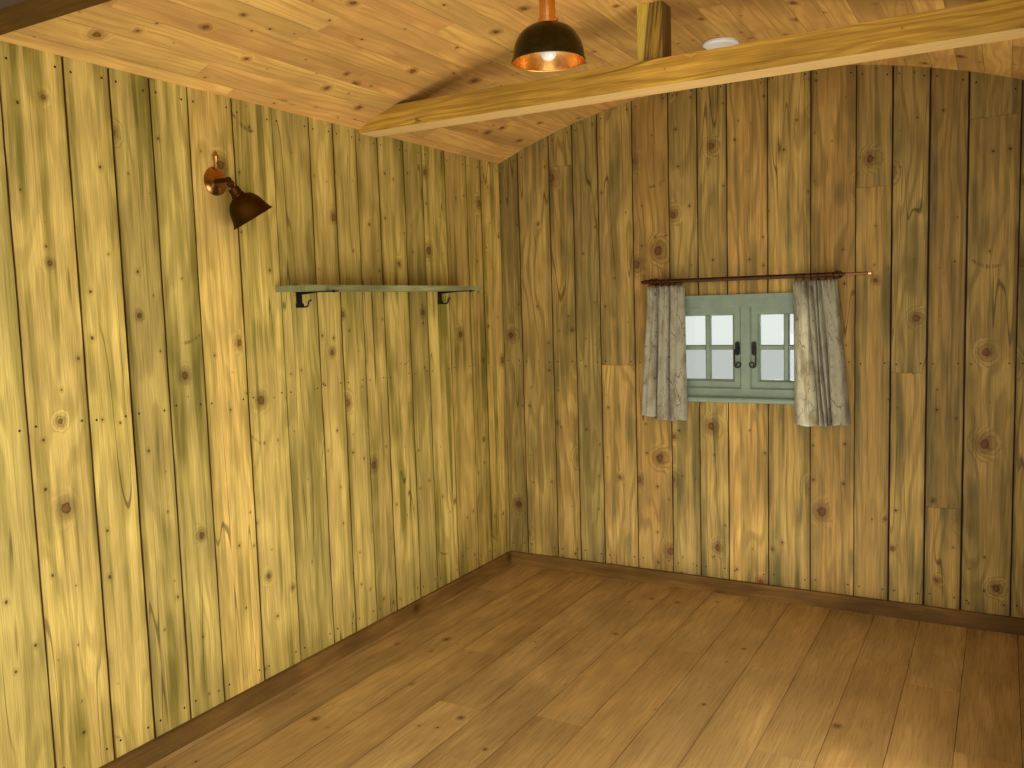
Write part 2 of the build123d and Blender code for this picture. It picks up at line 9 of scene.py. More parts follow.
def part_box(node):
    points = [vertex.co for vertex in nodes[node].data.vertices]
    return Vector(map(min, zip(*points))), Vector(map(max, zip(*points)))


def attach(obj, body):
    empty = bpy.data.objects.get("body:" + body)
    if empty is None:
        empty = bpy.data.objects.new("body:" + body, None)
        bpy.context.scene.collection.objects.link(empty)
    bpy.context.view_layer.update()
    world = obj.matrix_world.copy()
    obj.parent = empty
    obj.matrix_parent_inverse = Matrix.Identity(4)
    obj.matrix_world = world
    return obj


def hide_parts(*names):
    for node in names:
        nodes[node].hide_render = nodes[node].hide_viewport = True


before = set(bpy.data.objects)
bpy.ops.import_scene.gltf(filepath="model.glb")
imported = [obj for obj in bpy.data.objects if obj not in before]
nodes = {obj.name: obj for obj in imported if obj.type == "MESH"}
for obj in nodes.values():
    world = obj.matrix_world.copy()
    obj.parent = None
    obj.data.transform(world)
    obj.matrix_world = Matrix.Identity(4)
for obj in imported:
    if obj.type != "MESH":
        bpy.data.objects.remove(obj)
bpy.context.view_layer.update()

# Places in metres, read from the frame but for the ceiling's thickness
CEILING_THICK = 0.018
lining_low, lining_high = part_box("left_wall_lining")
ROOM_LEFT = lining_high.x
ROOM_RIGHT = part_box("right_wall_lining")[0].x
NEAR = lining_low.y
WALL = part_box("end_wall_lining")[0].y
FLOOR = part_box("floor_deck")[1].z
EAVES = lining_high.z
LINING = lining_high.x - lining_low.x
HALF = ROOM_RIGHT

# The ceiling's underside is an arc about an axis along the hut
CROWN_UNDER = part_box("ceiling_lining")[1].z - CEILING_THICK
RISE = CROWN_UNDER - EAVES
RADIUS = (HALF * HALF + RISE * RISE) / (2 * RISE)
AXIS = CROWN_UNDER - RADIUS


# Mesh helpers
def new_object(name, verts, faces, material, vectors=None, smooth=False):
    """A mesh object that rides on the hut, with named vector attributes on its points."""
    mesh = bpy.data.meshes.new(name)
    mesh.from_pydata(verts, [], faces)
    for key, values in (vectors or {}).items():
        attribute = mesh.attributes.new(key, "FLOAT_VECTOR", "POINT")
        attribute.data.foreach_set("vector", [c for value in values for c in value])
    work = bmesh.new()
    work.from_mesh(mesh)
    bmesh.ops.recalc_face_normals(work, faces=work.faces)
    work.to_mesh(mesh)
    work.free()
    if smooth:
        mesh.polygons.foreach_set("use_smooth", [True] * len(mesh.polygons))
    obj = bpy.data.objects.new(name, mesh)
    bpy.context.scene.collection.objects.link(obj)
    mesh.materials.append(material)
    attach(obj, "root")
    return obj


def board_object(name, boards, place, depth, material, replaced):
    """Joined boards, each an outline in (across, along) pushed back by depth.

    The point attribute grain holds (across, along, seed), tone (warmth, brightness, age)
    and reach (half width, lowest, highest).
    """
    verts, faces, grain, tones, reach = [], [], [], [], []
    for outline, seed, tone in boards:
        count = len(outline)
        first = len(verts)
        across = [u for u, v in outline]
        along = [v for u, v in outline]
        middle = (min(across) + max(across)) / 2
        extent = ((max(across) - min(across)) / 2, min(along), max(along))
        for back in (0.0, depth):
            for u, v in outline:
                verts.append(place(u, v, back))
                grain.append((u - middle, v, seed))
                tones.append(tone)
                reach.append(extent)
        faces.append(list(range(first, first + count)))
        faces.append(list(range(first + 2 * count - 1, first + count - 1, -1)))
        for i in range(count):
            j = (i + 1) % count
            faces.append([first + i, first + j, first + count + j, first + count + i])
    vectors = {"grain": grain, "tone": tones, "reach": reach}
    obj = new_object(name, verts, faces, material, vectors)
    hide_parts(*replaced)


def ceiling_z(x):
    """Height of the ceiling's underside this far from the centre line."""
    return AXIS + math.sqrt(RADIUS * RADIUS - x * x)


def arch_point(s, y, out):
    """A point out from the ceiling's underside, s along the curve from the crown."""
    angle = s / RADIUS
    reach = RADIUS + out
    return (reach * math.sin(angle), y, AXIS + reach * math.cos(angle))


def top_edge(u0, u1, height, steps=3):
    """The points of a board's top from u1 back to u0."""
    points = []
    for i in range(steps + 1):
        u = u1 + (u0 - u1) * i / steps
        points.append((u, height(u)))
    return points


# Shader helpers
class Shader:
    """A material under construction, with short ways to add nodes."""

    def __init__(self, name):
        self.material = bpy.data.materials.new(name)
        self.material.use_nodes = True
        self.tree = self.material.node_tree
        self.tree.nodes.clear()
        self.out = self.add("ShaderNodeOutputMaterial")

    def add(self, kind, values=None, **settings):
        node = self.tree.nodes.new(kind)
        for key, value in settings.items():
            setattr(node, key, value)
        for key, value in (values or {}).items():
            self.put(value, node.inputs[key])
        return node

    def put(self, value, socket):
        if isinstance(value, bpy.types.NodeSocket):
            self.tree.links.new(value, socket)
        elif isinstance(value, tuple) and socket.type == "RGBA" and len(value) == 3:
            socket.default_value = (*value, 1.0)
        else:
            socket.default_value = value

    def math(self, operation, a, b=0.0, clamp=False):
        node = self.add("ShaderNodeMath", {0: a, 1: b}, operation=operation)
        node.use_clamp = clamp
        return node.outputs[0]

    def times(self, a, b, clamp=False):
        return self.math("MULTIPLY", a, b, clamp)

    def plus(self, a, b):
        return self.math("ADD", a, b)

    def minus(self, a, b):
        return self.math("SUBTRACT", a, b)

    def over(self, a, b):
        return self.math("DIVIDE", a, b)

    def mix(self, factor, a, b, blend="MIX"):
        node = self.add("ShaderNodeMix", data_type="RGBA", blend_type=blend)
        self.put(factor, node.inputs["Factor"])
        self.put(a, node.inputs[6])
        self.put(b, node.inputs[7])
        return node.outputs[2]

    def ramp(self, value, low, high, a=0.0, b=1.0):
        """A smooth step of value from low to high, as a number from a to b."""
        node = self.add("ShaderNodeMapRange", interpolation_type="SMOOTHSTEP")
        self.put(value, node.inputs["Value"])
        for key, number in zip(("From Min", "From Max", "To Min", "To Max"), (low, high, a, b)):
            self.put(number, node.inputs[key])
        return node.outputs["Result"]

    def noise(self, vector, scale=1.0, detail=3.0, rough=0.5, warp=0.0):
        values = {
            "Vector": vector,
            "Scale": scale,
            "Detail": detail,
            "Roughness": rough,
            "Distortion": warp,
        }
        return self.add("ShaderNodeTexNoise", values).outputs["Fac"]

    def vector(self, x, y, z):
        node = self.add("ShaderNodeCombineXYZ", {0: x, 1: y, 2: z})
        return node.outputs[0]

    def scaled(self, u, across, v, along, w):
        """The place (u times across, v times along, w)."""
        return self.vector(self.times(u, across), self.times(v, along), w)

    def shaded(self, colour, shade):
        """A colour made lighter or darker by a number."""
        return self.mix(1.0, colour, self.vector(shade, shade, shade), "MULTIPLY")

    def parts(self, vector):
        node = self.add("ShaderNodeSeparateXYZ", {0: vector})
        return node.outputs[0], node.outputs[1], node.outputs[2]

    def attribute(self, name):
        return self.add("ShaderNodeAttribute", attribute_name=name).outputs["Vector"]

    def position(self):
        return self.add("ShaderNodeNewGeometry").outputs["Position"]

    def normal(self):
        return self.add("ShaderNodeNewGeometry").outputs["True Normal"]

    def bump(self, height, strength, distance):
        values = {"Height": height, "Strength": strength, "Distance": distance}
        return self.add("ShaderNodeBump", values).outputs["Normal"]

    def surface(self, **values):
        named = {key.replace("_", " "): value for key, value in values.items()}
        node = self.add("ShaderNodeBsdfPrincipled", named)
        self.tree.links.new(node.outputs[0], self.out.inputs["Surface"])
        return node


def knot_field(sh, u, v, seed, density, share, size, stretch=1.0):
    """Scattered knots: (distance over radius, mask of a knot, soft bump round it)."""
    across, along = density
    wobble = sh.noise(sh.scaled(u, 60.0, v, 60.0, seed), 1.0, 2.0)
    wobble = sh.times(sh.minus(wobble, 0.5), size * 1.1)
    x = sh.plus(sh.times(u, across), sh.times(seed, 13.7))
    y = sh.plus(sh.times(v, along), sh.times(seed, 7.3))
    cells = sh.add(
        "ShaderNodeTexVoronoi",
        {"Vector": sh.vector(x, y, 0.0), "Scale": 1.0, "Randomness": 0.9},
        voronoi_dimensions="2D",
    )
    px, py, _ = sh.parts(cells.outputs["Position"])
    du = sh.over(sh.minus(x, px), across * stretch)
    dv = sh.over(sh.minus(y, py), along * 1.15)
    square = sh.plus(sh.times(du, du), sh.times(dv, dv))
    distance = sh.plus(sh.math("SQRT", square), wobble)
    pick, scale, _ = sh.parts(cells.outputs["Color"])
    there = sh.math("LESS_THAN", pick, share)
    radius = sh.plus(sh.times(scale, size * 1.1), size * 0.3)
    ratio = sh.over(distance, radius)
    mask = sh.times(sh.ramp(ratio, 0.8, 1.1, 1.0, 0.0), there)
    halo = sh.times(sh.ramp(ratio, 0.8, 4.2, 1.0, 0.0), there)
    return ratio, mask, halo


def wood(
    name,
    light,
    dark,
    warm,
    knot,
    coordinates,
    rings=15.0,
    contrast=0.4,
    stain=(0.3, 0.3, 0.1),
    stain_share=0.6,
    knots=0.4,
    knot_size=0.013,
    knot_spread=(6.0, 1.9),
    pins=0.35,
    shakes=0.0,
    marks=0.0,
    mottle=0.25,
    rough=0.6,
    bump=0.25,
    fibre=0.2,
    toned=True,
    edge=0.0,
    edge_colour=(0.13, 0.048, 0.012),
    painted_bevel_highlight=0.0,
    gloss=0.2,
    finish=None,
):
    """Procedural boards: growth rings, fibres, knots, stains and a tone for each board.

    coordinates is called with the shader and gives (across, along, seed), and finish
    with the shader and the colour, which it may change.
    """
    sh = Shader(name)
    u, v, seed = coordinates(sh)
    shift = sh.times(seed, 9.1)

    def streaks(across, along, detail=2.0, rough=0.5, warp=0.0):
        return sh.noise(sh.scaled(u, across, v, along, shift), 1.0, detail, rough, warp)

    ratio, mask, halo = knot_field(sh, u, v, seed, knot_spread, knots, knot_size)
    bend = sh.times(streaks(7.0, 1.1), 7.0)
    field = sh.plus(sh.times(u, rings), bend)
    field = sh.plus(field, sh.times(halo, 2.6))
    wave = sh.math("SINE", sh.times(field, 2 * math.pi))
    ring = sh.ramp(wave, -0.2, 1.0)
    fine = streaks(300.0, 7.0, 3.0)
    medium = streaks(85.0, 1.1, 5.0, 0.65)
    broad = streaks(24.0, 0.9, 3.0, 0.55, 0.3)
    patch = streaks(6.0, 3.0)
    cloud = streaks(2.6, 0.9, 2.0)
    if toned:
        warmth, bright, age = sh.parts(sh.attribute("tone"))
    else:
        warmth, bright, age = 0.5, 1.0, 0.5
    base = sh.mix(warmth, light, warm)
    lifted = tuple(min(1.0, c * 1.3) for c in light)
    colour = sh.mix(sh.ramp(patch, 0.5, 0.75, 0.0, 0.25), base, lifted)
    tint = sh.times(sh.ramp(broad, 0.42, 0.64), stain_share)
    tint = sh.times(tint, sh.ramp(patch, 0.3, 0.65, 1.1, 0.5), clamp=True)
    if toned:
        tint = sh.times(tint, sh.plus(age, 0.4), clamp=True)
    colour = sh.mix(tint, colour, stain)
    streak = sh.times(ring, sh.ramp(patch, 0.35, 0.65, contrast * 0.3, contrast))
    colour = sh.mix(streak, colour, dark)
    colour = sh.mix(sh.ramp(medium, 0.5, 0.74, 0.0, contrast), colour, dark)
    rim = sh.times(sh.ramp(halo, 0.3, 1.0), 0.5)
    colour = sh.mix(rim, colour, knot)
    heart = (knot[0] * 0.35, knot[1] * 0.3, knot[2] * 0.3)
    red = (knot[0] * 1.5, knot[1] * 1.15, knot[2] * 0.9)
    core = sh.mix(sh.ramp(ratio, 0.45, 0.95), red, heart)
    colour = sh.mix(sh.times(mask, 0.85), colour, core)
    if pins:
        _, pin, ring_of_pin = knot_field(sh, u, v, seed, (15.0, 5.0), pins, 0.004)
        colour = sh.mix(sh.times(ring_of_pin, 0.35), colour, dark)
        colour = sh.mix(sh.times(pin, 0.85), colour, heart)
    if marks:
        arc = sh.times(sh.times(u, u), 5.0)
        low = sh.minus(v, arc)
        _, cross, _ = knot_field(sh, u, low, seed, (4.0, 1.1), marks, 0.007, 8.0)
        cross = sh.times(cross, sh.ramp(medium, 0.38, 0.6))
        colour = sh.mix(sh.times(cross, 0.6), colour, heart)
    if shakes:
        ridge = sh.math("ABSOLUTE", sh.minus(streaks(11.0, 0.55, 1.0), 0.5))
        crack = sh.times(sh.ramp(ridge, 0.002, 0.007, 1.0, 0.0), shakes)
        crack = sh.times(crack, sh.ramp(cloud, 0.5, 0.56))
        colour = sh.mix(crack, colour, heart)
    if edge:
        uncut = colour
        half, _, _ = sh.parts(sh.attribute("reach"))
        inset = sh.minus(half, sh.math("ABSOLUTE", u))
        side = sh.math("SIGN", u)
        wane = sh.noise(sh.vector(shift, sh.times(v, 3.5), side), 1.0, 2.0)
        width = sh.ramp(wane, 0.35, 0.7, edge * 0.15, edge)
        near = sh.over(inset, width)
        if painted_bevel_highlight:
            # Painted highlight: a pale band along one side of each board, as if a bevel caught the
            # light
            glint = sh.ramp(near, 1.2, 4.0, painted_bevel_highlight, 0.0)
            colour = sh.mix(sh.times(glint, sh.ramp(u, -0.001, 0.001)), colour, lifted)
        else:
            worn = sh.ramp(inset, 0.004, 0.036, 0.4, 0.0)
            colour = sh.mix(sh.times(worn, sh.ramp(wane, 0.3, 0.6)), colour, stain)
            soft = sh.ramp(near, 0.8, 4.0, 0.25, 0.0)
            colour = sh.mix(soft, colour, (dark[0] * 0.5, dark[1] * 0.45, dark[2] * 0.4))
        gap = sh.ramp(near, 0.6, 1.3, 0.5 if painted_bevel_highlight else 0.9, 0.0)
        colour = sh.mix(gap, colour, edge_colour)
        section = sh.ramp(sh.parts(sh.position())[1], NEAR + 0.0004, NEAR + 0.0014)
        colour = sh.mix(section, uncut, colour)
    shade = sh.times(sh.ramp(fine, 0.35, 0.7, 1.0 - fibre, 1.0 + fibre * 0.4), bright)
    for uneven in (patch, cloud):
        shade = sh.times(shade, sh.ramp(uneven, 0.3, 0.7, 1.0 - mottle, 1.0 + mottle * 0.6))
    colour = sh.shaded(colour, shade)
    if finish:
        colour = finish(sh, colour)
    sh.surface(
        Base_Color=colour,
        Roughness=sh.ramp(fine, 0.3, 0.7, rough - 0.08, rough + 0.1),
        Specular_IOR_Level=gloss,
        Normal=sh.bump(fine, bump * 0.7, 0.002),
    )
    return sh.material


def by_grain(sh):
    """Board coordinates carried by a joined mesh."""
    return sh.parts(sh.attribute("grain"))


def by_axes(across, along, other):
    """Board coordinates straight from the place, for single timbers."""

    def coordinates(sh):
        axes = sh.parts(sh.position())
        u = sh.plus(axes[across], sh.times(axes[other], 0.8))
        return u, axes[along], 3.0

    return coordinates


def coated(name, colour, rough, vary=0.12, metal=0.0, bump=0.06, scale=60.0, coat=0.0):
    """Paint, plastic or metal with slight unevenness."""
    sh = Shader(name)
    place = sh.position()
    patch = sh.noise(place, scale * 0.2, 4.0, 0.6)
    grain = sh.noise(place, scale * 6.0, 2.0)
    darker = tuple(c * (1 - vary * 1.6) for c in colour)
    lighter = tuple(min(1.0, c * (1 + vary)) for c in colour)
    sh.surface(
        Base_Color=sh.mix(sh.ramp(patch, 0.35, 0.65), darker, lighter),
        Roughness=sh.ramp(patch, 0.3, 0.7, max(0.05, rough - 0.08), rough + 0.08),
        Metallic=metal,
        Coat_Weight=coat,
        Normal=sh.bump(grain, bump, 0.001),
    )
    return sh.material


# Materials
wall_wood = wood(
    "wall_boards",
    light=(0.62, 0.475, 0.125),
    dark=(0.19, 0.13, 0.018),
    warm=(0.68, 0.445, 0.12),
    knot=(0.12, 0.062, 0.010),
    coordinates=by_grain,
    stain=(0.25, 0.20, 0.03),
    stain_share=0.9,
    marks=0.16,
    shakes=0.65,
    contrast=0.35,
    mottle=0.15,
    edge=0.0026,
)
end_wood = wood(
    "window_wall_boards",
    light=(0.45, 0.345, 0.10),
    dark=(0.12, 0.078, 0.012),
    warm=(0.52, 0.285, 0.068),
    knot=(0.12, 0.048, 0.01),
    coordinates=by_grain,
    stain=(0.18, 0.14, 0.038),
    stain_share=0.85,
    knots=0.5,
    knot_size=0.016,
    marks=0.08,
    shakes=0.65,
    contrast=0.46,
    mottle=0.15,
    edge=0.0026,
)
ceiling_wood = wood(
    "ceiling_boards",
    light=(0.70, 0.43, 0.115),
    dark=(0.38, 0.17, 0.03),
    warm=(0.64, 0.34, 0.095),
    knot=(0.16, 0.05, 0.008),
    coordinates=by_grain,
    rings=24.0,
    stain=(0.46, 0.23, 0.065),
    stain_share=0.5,
    knots=0.5,
    knot_size=0.011,
    knot_spread=(9.0, 2.6),
    contrast=0.35,
    mottle=0.14,
    rough=0.5,
    bump=0.1,
    fibre=0.1,
    edge=0.0008,
    edge_colour=(0.16, 0.07, 0.02),
    # Painted highlight along one edge of each ceiling board
    painted_bevel_highlight=0.7,
)
floor_wood = wood(
    "floor_boards",
    light=(0.52, 0.335, 0.12),
    dark=(0.29, 0.158, 0.044),
    warm=(0.46, 0.275, 0.088),
    knot=(0.10, 0.048, 0.014),
    coordinates=by_grain,
    rings=17.0,
    stain=(0.33, 0.193, 0.063),
    stain_share=0.5,
    knots=0.15,
    knot_size=0.008,
    pins=0.1,
    contrast=0.32,
    mottle=0.14,
    rough=0.32,
    bump=0.06,
    fibre=0.14,
    edge=0.0009,
    edge_colour=(0.10, 0.045, 0.012),
)
cladding_wood = wood(
    "cladding_boards",
    light=(0.33, 0.24, 0.13),
    dark=(0.16, 0.11, 0.055),
    warm=(0.36, 0.22, 0.10),
    knot=(0.10, 0.05, 0.02),
    coordinates=by_grain,
    stain=(0.17, 0.15, 0.11),
    stain_share=0.9,
    knots=0.5,
    contrast=0.4,
    rough=0.75,
    bump=0.4,
    fibre=0.3,
    edge=0.003,
)


def timber(name, light, dark, knot, stain, coordinates, **more):
    """A single timber with no board joints, its grain along one axis."""
    settings = {"rings": 22.0, "contrast": 0.35, "stain_share": 0.5, "knots": 0.35}
    settings.update(more)
    return wood(
        name,
        light=light,
        dark=dark,
        warm=light,
        knot=knot,
        coordinates=coordinates,
        stain=stain,
        toned=False,
        **settings,
    )


def painted_lit_underside(sh, colour):
    """Painted light: a timber's underside painted paler than its sides, as if lit from below."""
    _, _, z = sh.parts(sh.normal())
    return sh.mix(sh.ramp(z, -0.9, -0.6, 0.65, 0.0), colour, (0.84, 0.58, 0.25))


beam_wood = timber(
    "beam_timber",
    (0.60, 0.36, 0.055),
    (0.27, 0.13, 0.012),
    (0.16, 0.06, 0.008),
    (0.38, 0.21, 0.025),
    by_axes(2, 0, 1),
    rings=30.0,
    contrast=0.55,
    knot_size=0.012,
    mottle=0.16,
    shakes=0.6,
    # Painted light: the underside is painted paler
    finish=painted_lit_underside,
)
# Painted shade: the near tie beam gets a much darker copy of the beam timber
painted_shade_near_beam_wood = timber(
    "painted_shade_near_beam_timber",
    (0.085, 0.036, 0.002),
    (0.04, 0.016, 0.001),
    (0.03, 0.010, 0.001),
    (0.05, 0.021, 0.001),
    by_axes(2, 0, 1),
)


def post_material():
    """Upright posts with pale sapwood at one edge, dark streaked heartwood and painted shade on
    the side face towards +X.
    """
    sh = Shader("post_timber")
    x, y, z = sh.parts(sh.position())
    low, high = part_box("king_post_1")
    lean = sh.minus(x, sh.times(sh.minus(z, low.z), 0.12))
    across = sh.plus(lean, sh.times(y, 0.8))
    place = sh.scaled(across, 85.0, z, 3.0, 2.0)
    streak = sh.ramp(sh.noise(place, 1.0, 4.0, 0.6, 0.8), 0.38, 0.62)
    place = sh.scaled(across, 400.0, z, 14.0, 5.0)
    fine = sh.noise(place, 1.0, 3.0)
    heart = sh.mix(streak, (0.36, 0.22, 0.018), (0.08, 0.04, 0.003))
    sap = sh.mix(sh.times(streak, 0.4), (0.60, 0.44, 0.06), (0.36, 0.24, 0.025))
    edge = low.x + 0.018
    pale = sh.ramp(lean, edge, edge + 0.010, 1.0, 0.0)
    colour = sh.mix(pale, heart, sap)
    # Painted shade: the side face towards +X is darkened
    side = sh.ramp(x, high.x - 0.0008, high.x - 0.0004)
    colour = sh.mix(sh.times(side, 0.75), colour, (0.13, 0.072, 0.016))
    shade = sh.ramp(fine, 0.3, 0.7, 0.8, 1.1)
    colour = sh.shaded(colour, shade)
    sh.surface(
        Base_Color=colour,
        Roughness=sh.ramp(fine, 0.3, 0.7, 0.5, 0.68),
        Normal=sh.bump(fine, 0.25, 0.002),
    )
    return sh.material


post_wood = post_material()
SKIRTING = ((0.22, 0.115, 0.025), (0.12, 0.055, 0.012), (0.07, 0.03, 0.008), (0.11, 0.05, 0.012))
skirting_wood = timber(
    "skirting_timber", *SKIRTING, by_axes(2, 0, 1), rough=0.65, bump=0.4
)
side_skirting_wood = timber(
    "side_skirting_timber", *SKIRTING, by_axes(2, 1, 0), rough=0.65, bump=0.4
)
SAWN = ((0.50, 0.36, 0.18), (0.34, 0.22, 0.09), (0.22, 0.11, 0.05), (0.33, 0.23, 0.11))


def painted_shade_behind_lining(sh, colour):
    """Painted shade: dark on the faces that only show through the gaps between the boards."""
    x, y, _ = sh.parts(sh.position())
    back = LINING + 0.0004
    sides = sh.ramp(sh.math("ABSOLUTE", x), HALF + back, HALF + back + 0.0004, 0.1)
    end = sh.ramp(y, WALL + back, WALL + back + 0.0004, 0.1)
    shade = sh.math("MAXIMUM", sides, end)
    return sh.shaded(colour, shade)


# Painted shade on the core's faces behind the lining
frame_wood = timber(
    "frame_timber", *SAWN, by_axes(0, 2, 1), rough=0.7, bump=0.3, finish=painted_shade_behind_lining
)
joist_wood = timber("joist_timber", *SAWN, by_axes(2, 0, 1), rough=0.7, bump=0.3)
bearer_wood = timber(
    "bearer_timber",
    (0.29, 0.23, 0.14),
    (0.15, 0.11, 0.06),
    (0.10, 0.065, 0.03),
    (0.15, 0.13, 0.08),
    by_axes(2, 1, 0),
    rough=0.8,
    bump=0.4,
    stain_share=0.8,
)
trim_wood = timber(
    "trim_timber",
    (0.25, 0.18, 0.10),
    (0.13, 0.09, 0.045),
    (0.08, 0.04, 0.02),
    (0.14, 0.12, 0.08),
    by_axes(0, 2, 1),
    rough=0.75,
    bump=0.35,
)
shelf_wood = timber(
    "shelf_paint",
    (0.26, 0.27, 0.12),
    (0.19, 0.19, 0.08),
    (0.15, 0.15, 0.06),
    (0.21, 0.21, 0.09),
    by_axes(0, 1, 2),
    rough=0.5,
    bump=0.15,
    knots=0.1,
)
sage_paint = coated("sage_paint", (0.19, 0.25, 0.175), 0.38, vary=0.06, bump=0.1, coat=0.1)
black_iron = coated("black_iron", (0.018, 0.017, 0.016), 0.5, vary=0.3, metal=0.6, bump=0.3)
copper = coated("polished_copper", (0.80, 0.38, 0.12), 0.22, vary=0.12, metal=1.0, scale=40.0)
aged_copper = coated("aged_copper", (0.40, 0.20, 0.06), 0.24, vary=0.25, metal=1.0, scale=40.0)
bronze = coated("bronze_enamel", (0.058, 0.024, 0.002), 0.58, vary=0.2, metal=1.0)
dark_copper = coated("dark_copper", (0.050, 0.019, 0.004), 0.42, vary=0.25, metal=1.0)
opal = coated("opal_glass", (0.86, 0.86, 0.82), 0.2, vary=0.02, bump=0.0, coat=0.4)
white_plastic = coated("white_plastic", (0.80, 0.80, 0.77), 0.45, vary=0.03)
roof_paint = coated(
    "roof_steel", (0.10, 0.125, 0.11), 0.42, vary=0.07, metal=0.25, bump=0.08, scale=12.0
)


def green_shade_material():
    """Dark green enamel outside and bright copper inside."""
    sh = Shader("green_enamel")
    place = sh.position()
    low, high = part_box("pendant_shade")
    centre = (low + high) / 2
    x, y, _ = sh.parts(place)
    nx, ny, _ = sh.parts(sh.normal())
    dx = sh.minus(x, centre.x)
    dy = sh.minus(y, centre.y)
    away = sh.plus(sh.times(dx, nx), sh.times(dy, ny))
    inside = sh.math("LESS_THAN", away, -0.0015)
    patch = sh.noise(place, 30.0, 3.0)
    outer = sh.mix(patch, (0.022, 0.015, 0.001), (0.044, 0.030, 0.004))
    inner = sh.mix(patch, (0.80, 0.40, 0.11), (0.95, 0.56, 0.18))
    sh.surface(
        Base_Color=sh.mix(inside, outer, inner),
        Metallic=sh.ramp(inside, 0.0, 1.0, 0.7, 1.0),
        Roughness=sh.ramp(patch, 0.3, 0.7, 0.22, 0.34),
    )
    return sh.material


def pole_material():
    """Brown enamelled tube, a paler inner tube and a bright brass tip."""
    sh = Shader("pole_brown")
    place = sh.position()
    x, _, _ = sh.parts(place)
    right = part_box("curtain_pole")[1].x
    patch = sh.noise(place, 30.0, 3.0)
    tube = sh.mix(patch, (0.036, 0.012, 0.003), (0.072, 0.026, 0.007))
    inner = sh.mix(patch, (0.16, 0.07, 0.018), (0.26, 0.13, 0.035))
    colour = sh.mix(sh.ramp(x, right - 0.120, right - 0.116), tube, inner)
    tip = sh.ramp(x, right - 0.020, right - 0.018)
    colour = sh.mix(tip, colour, (0.80, 0.55, 0.24))
    sh.surface(
        Base_Color=colour,
        Metallic=sh.ramp(tip, 0.0, 1.0, 0.6, 1.0),
        Roughness=sh.ramp(patch, 0.3, 0.7, 0.26, 0.4),
    )
    return sh.material


def glass_material():
    """Thin window glass that lets the light through."""
    sh = Shader("window_glass")
    clear = sh.add("ShaderNodeBsdfTransparent", {"Color": (0.93, 0.97, 0.95)})
    ripple = sh.noise(sh.position(), 14.0, 1.0)
    gloss = sh.add(
        "ShaderNodeBsdfGlossy",
        {"Color": (0.9, 0.95, 0.95), "Roughness": 0.03, "Normal": sh.bump(ripple, 0.02, 0.01)},
    )
    facing = sh.add("ShaderNodeFresnel", {"IOR": 1.45}).outputs[0]
    mixed = sh.add("ShaderNodeMixShader", {0: facing, 1: clear.outputs[0], 2: gloss.outputs[0]})
    sh.tree.links.new(mixed.outputs[0], sh.out.inputs["Surface"])
    return sh.material


# The weave's threads, in radians for each metre of cloth
THREADS = 6000.0


def cloth_material():
    """Linen-coloured cloth with broken brown twigs, small buds, a plain weave and a painted glow
    of light through the right curtain.
    """
    sh = Shader("curtain_cloth")
    u, v, seed = sh.parts(sh.attribute("cloth"))
    wander = sh.noise(sh.scaled(u, 18.0, v, 14.0, seed))
    wander = sh.times(wander, 1.3)
    across = sh.plus(sh.times(u, 20.0), wander)
    along = sh.plus(sh.times(v, 7.5), sh.times(wander, 0.6))
    cells = sh.add(
        "ShaderNodeTexVoronoi",
        {"Vector": sh.vector(across, along, 0.0), "Scale": 1.0},
        feature="DISTANCE_TO_EDGE",
        voronoi_dimensions="2D",
    )
    broken = sh.noise(sh.scaled(u, 16.0, v, 11.0, seed), 1.0, 3.0, 0.6)
    twig = sh.ramp(cells.outputs["Distance"], 0.012, 0.05, 1.0, 0.0)
    twig = sh.times(twig, sh.ramp(broken, 0.47, 0.55))
    buds = sh.add(
        "ShaderNodeTexVoronoi",
        {"Vector": sh.scaled(u, 70.0, v, 45.0, 0.0), "Scale": 1.0},
        voronoi_dimensions="2D",
    )
    pick, _, _ = sh.parts(buds.outputs["Color"])
    bud = sh.ramp(buds.outputs["Distance"], 0.2, 0.34, 1.0, 0.0)
    bud = sh.times(bud, sh.math("LESS_THAN", pick, 0.3))
    bud = sh.times(bud, sh.ramp(broken, 0.5, 0.58))
    wash = sh.noise(sh.scaled(u, 12.0, v, 7.0, seed), 1.0, 4.0, 0.6)
    colour = sh.mix(sh.ramp(wash, 0.42, 0.7), (0.50, 0.475, 0.33), (0.27, 0.225, 0.125))
    # Painted light: a glow of light through the cloth in a band near one edge of the right curtain
    right = sh.ramp(seed, 0.3, 0.5)
    bright = sh.times(sh.ramp(u, 0.0, 0.09), sh.ramp(u, 0.12, 0.27, 1.0, 0.0))
    bright = sh.times(bright, sh.ramp(v, 0.04, 0.25))
    lit = sh.ramp(sh.times(bright, right), 0.0, 1.0, 0.86, 1.45)
    colour = sh.shaded(colour, lit)
    colour = sh.mix(sh.times(bud, 0.6), colour, (0.15, 0.10, 0.05))
    colour = sh.mix(sh.times(twig, 0.75), colour, (0.11, 0.075, 0.035))
    weft, warp = (sh.math("SINE", sh.times(axis, THREADS)) for axis in (u, v))
    weave = sh.plus(weft, warp)
    node = sh.surface(
        Base_Color=colour,
        Roughness=0.9,
        Sheen_Weight=0.2,
        Normal=sh.bump(weave, 0.15, 0.0004),
    )
    glow = sh.add("ShaderNodeBsdfTranslucent", {"Color": colour})
    mixed = sh.add("ShaderNodeMixShader", {0: 0.3, 1: node.outputs[0], 2: glow.outputs[0]})
    sh.tree.links.new(mixed.outputs[0], sh.out.inputs["Surface"])
    return sh.material


green_shade = green_shade_material()
window_glass = glass_material()
pole_brown = pole_material()
cloth = cloth_material()

